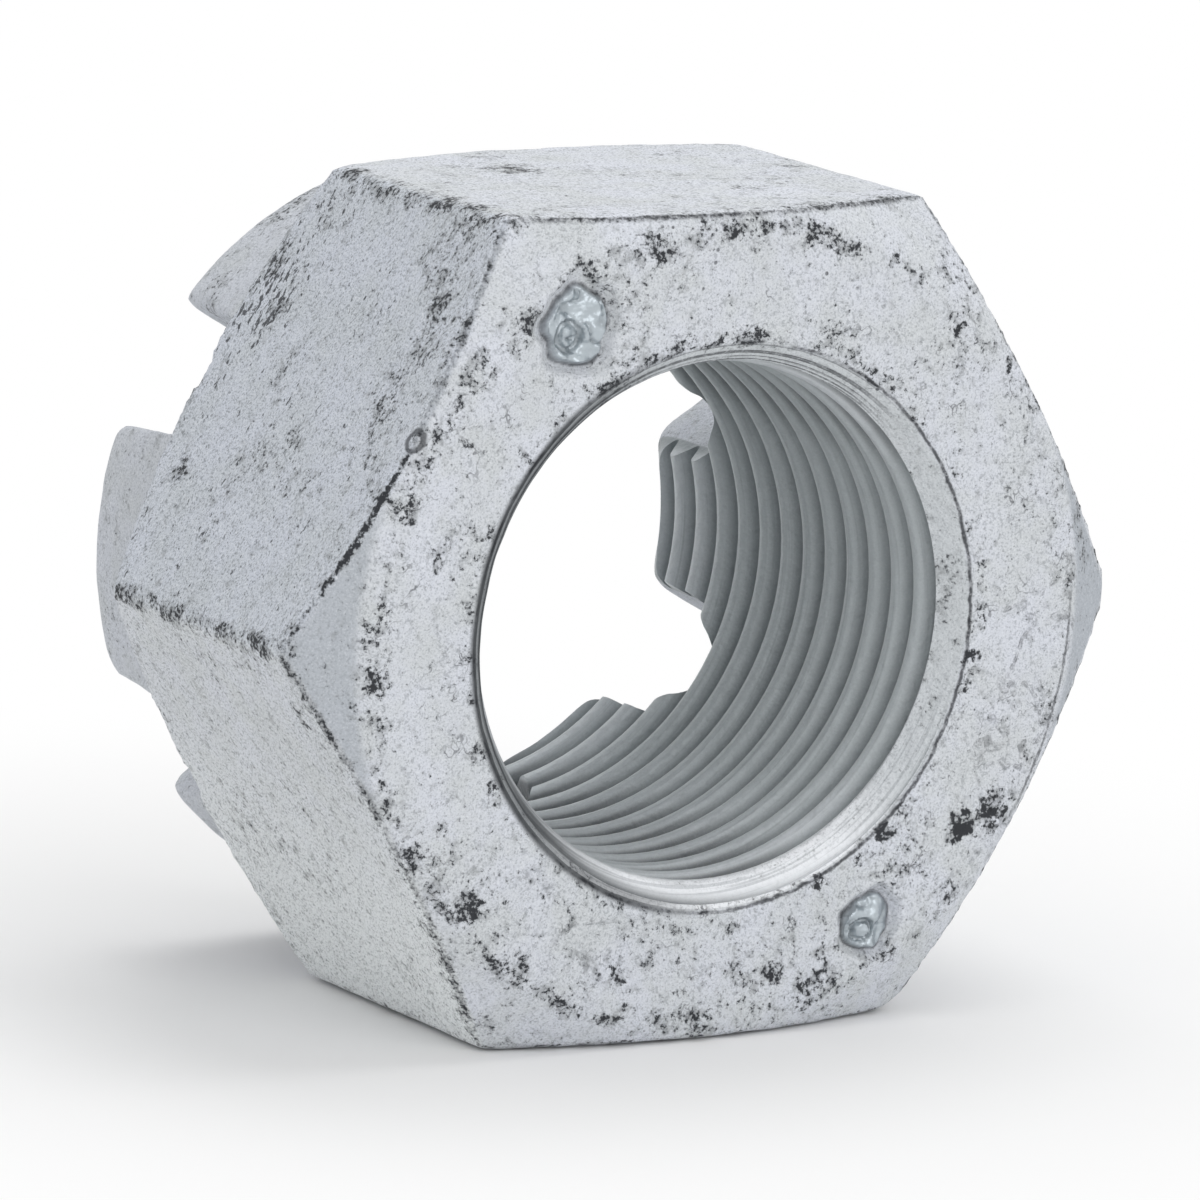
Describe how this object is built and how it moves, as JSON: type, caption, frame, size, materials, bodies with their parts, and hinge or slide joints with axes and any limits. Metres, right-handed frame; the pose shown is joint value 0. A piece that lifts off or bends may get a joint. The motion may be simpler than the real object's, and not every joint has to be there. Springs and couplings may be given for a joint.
{
  "type": "castle nut",
  "caption": "Hexagon castle nut with a metric fine right-hand thread, a countersunk bearing face and a round slotted crown whose slots take a split pin.",
  "frame": {"origin": "centre of the bearing face, on the thread axis", "axes": "+Y along the thread axis, from the bearing face towards the slotted crown; +Z square to the upper flat, so the nut stands on its lower flat"},
  "size_m": [0.034, 0.0218, 0.0296],
  "materials": {
    "zinc_flake_coating": "matt, powdery silver-grey coating over steel"
  },
  "bodies": {
    "root": {"castle_nut": "zinc_flake_coating"}
  },
  "joints": []
}
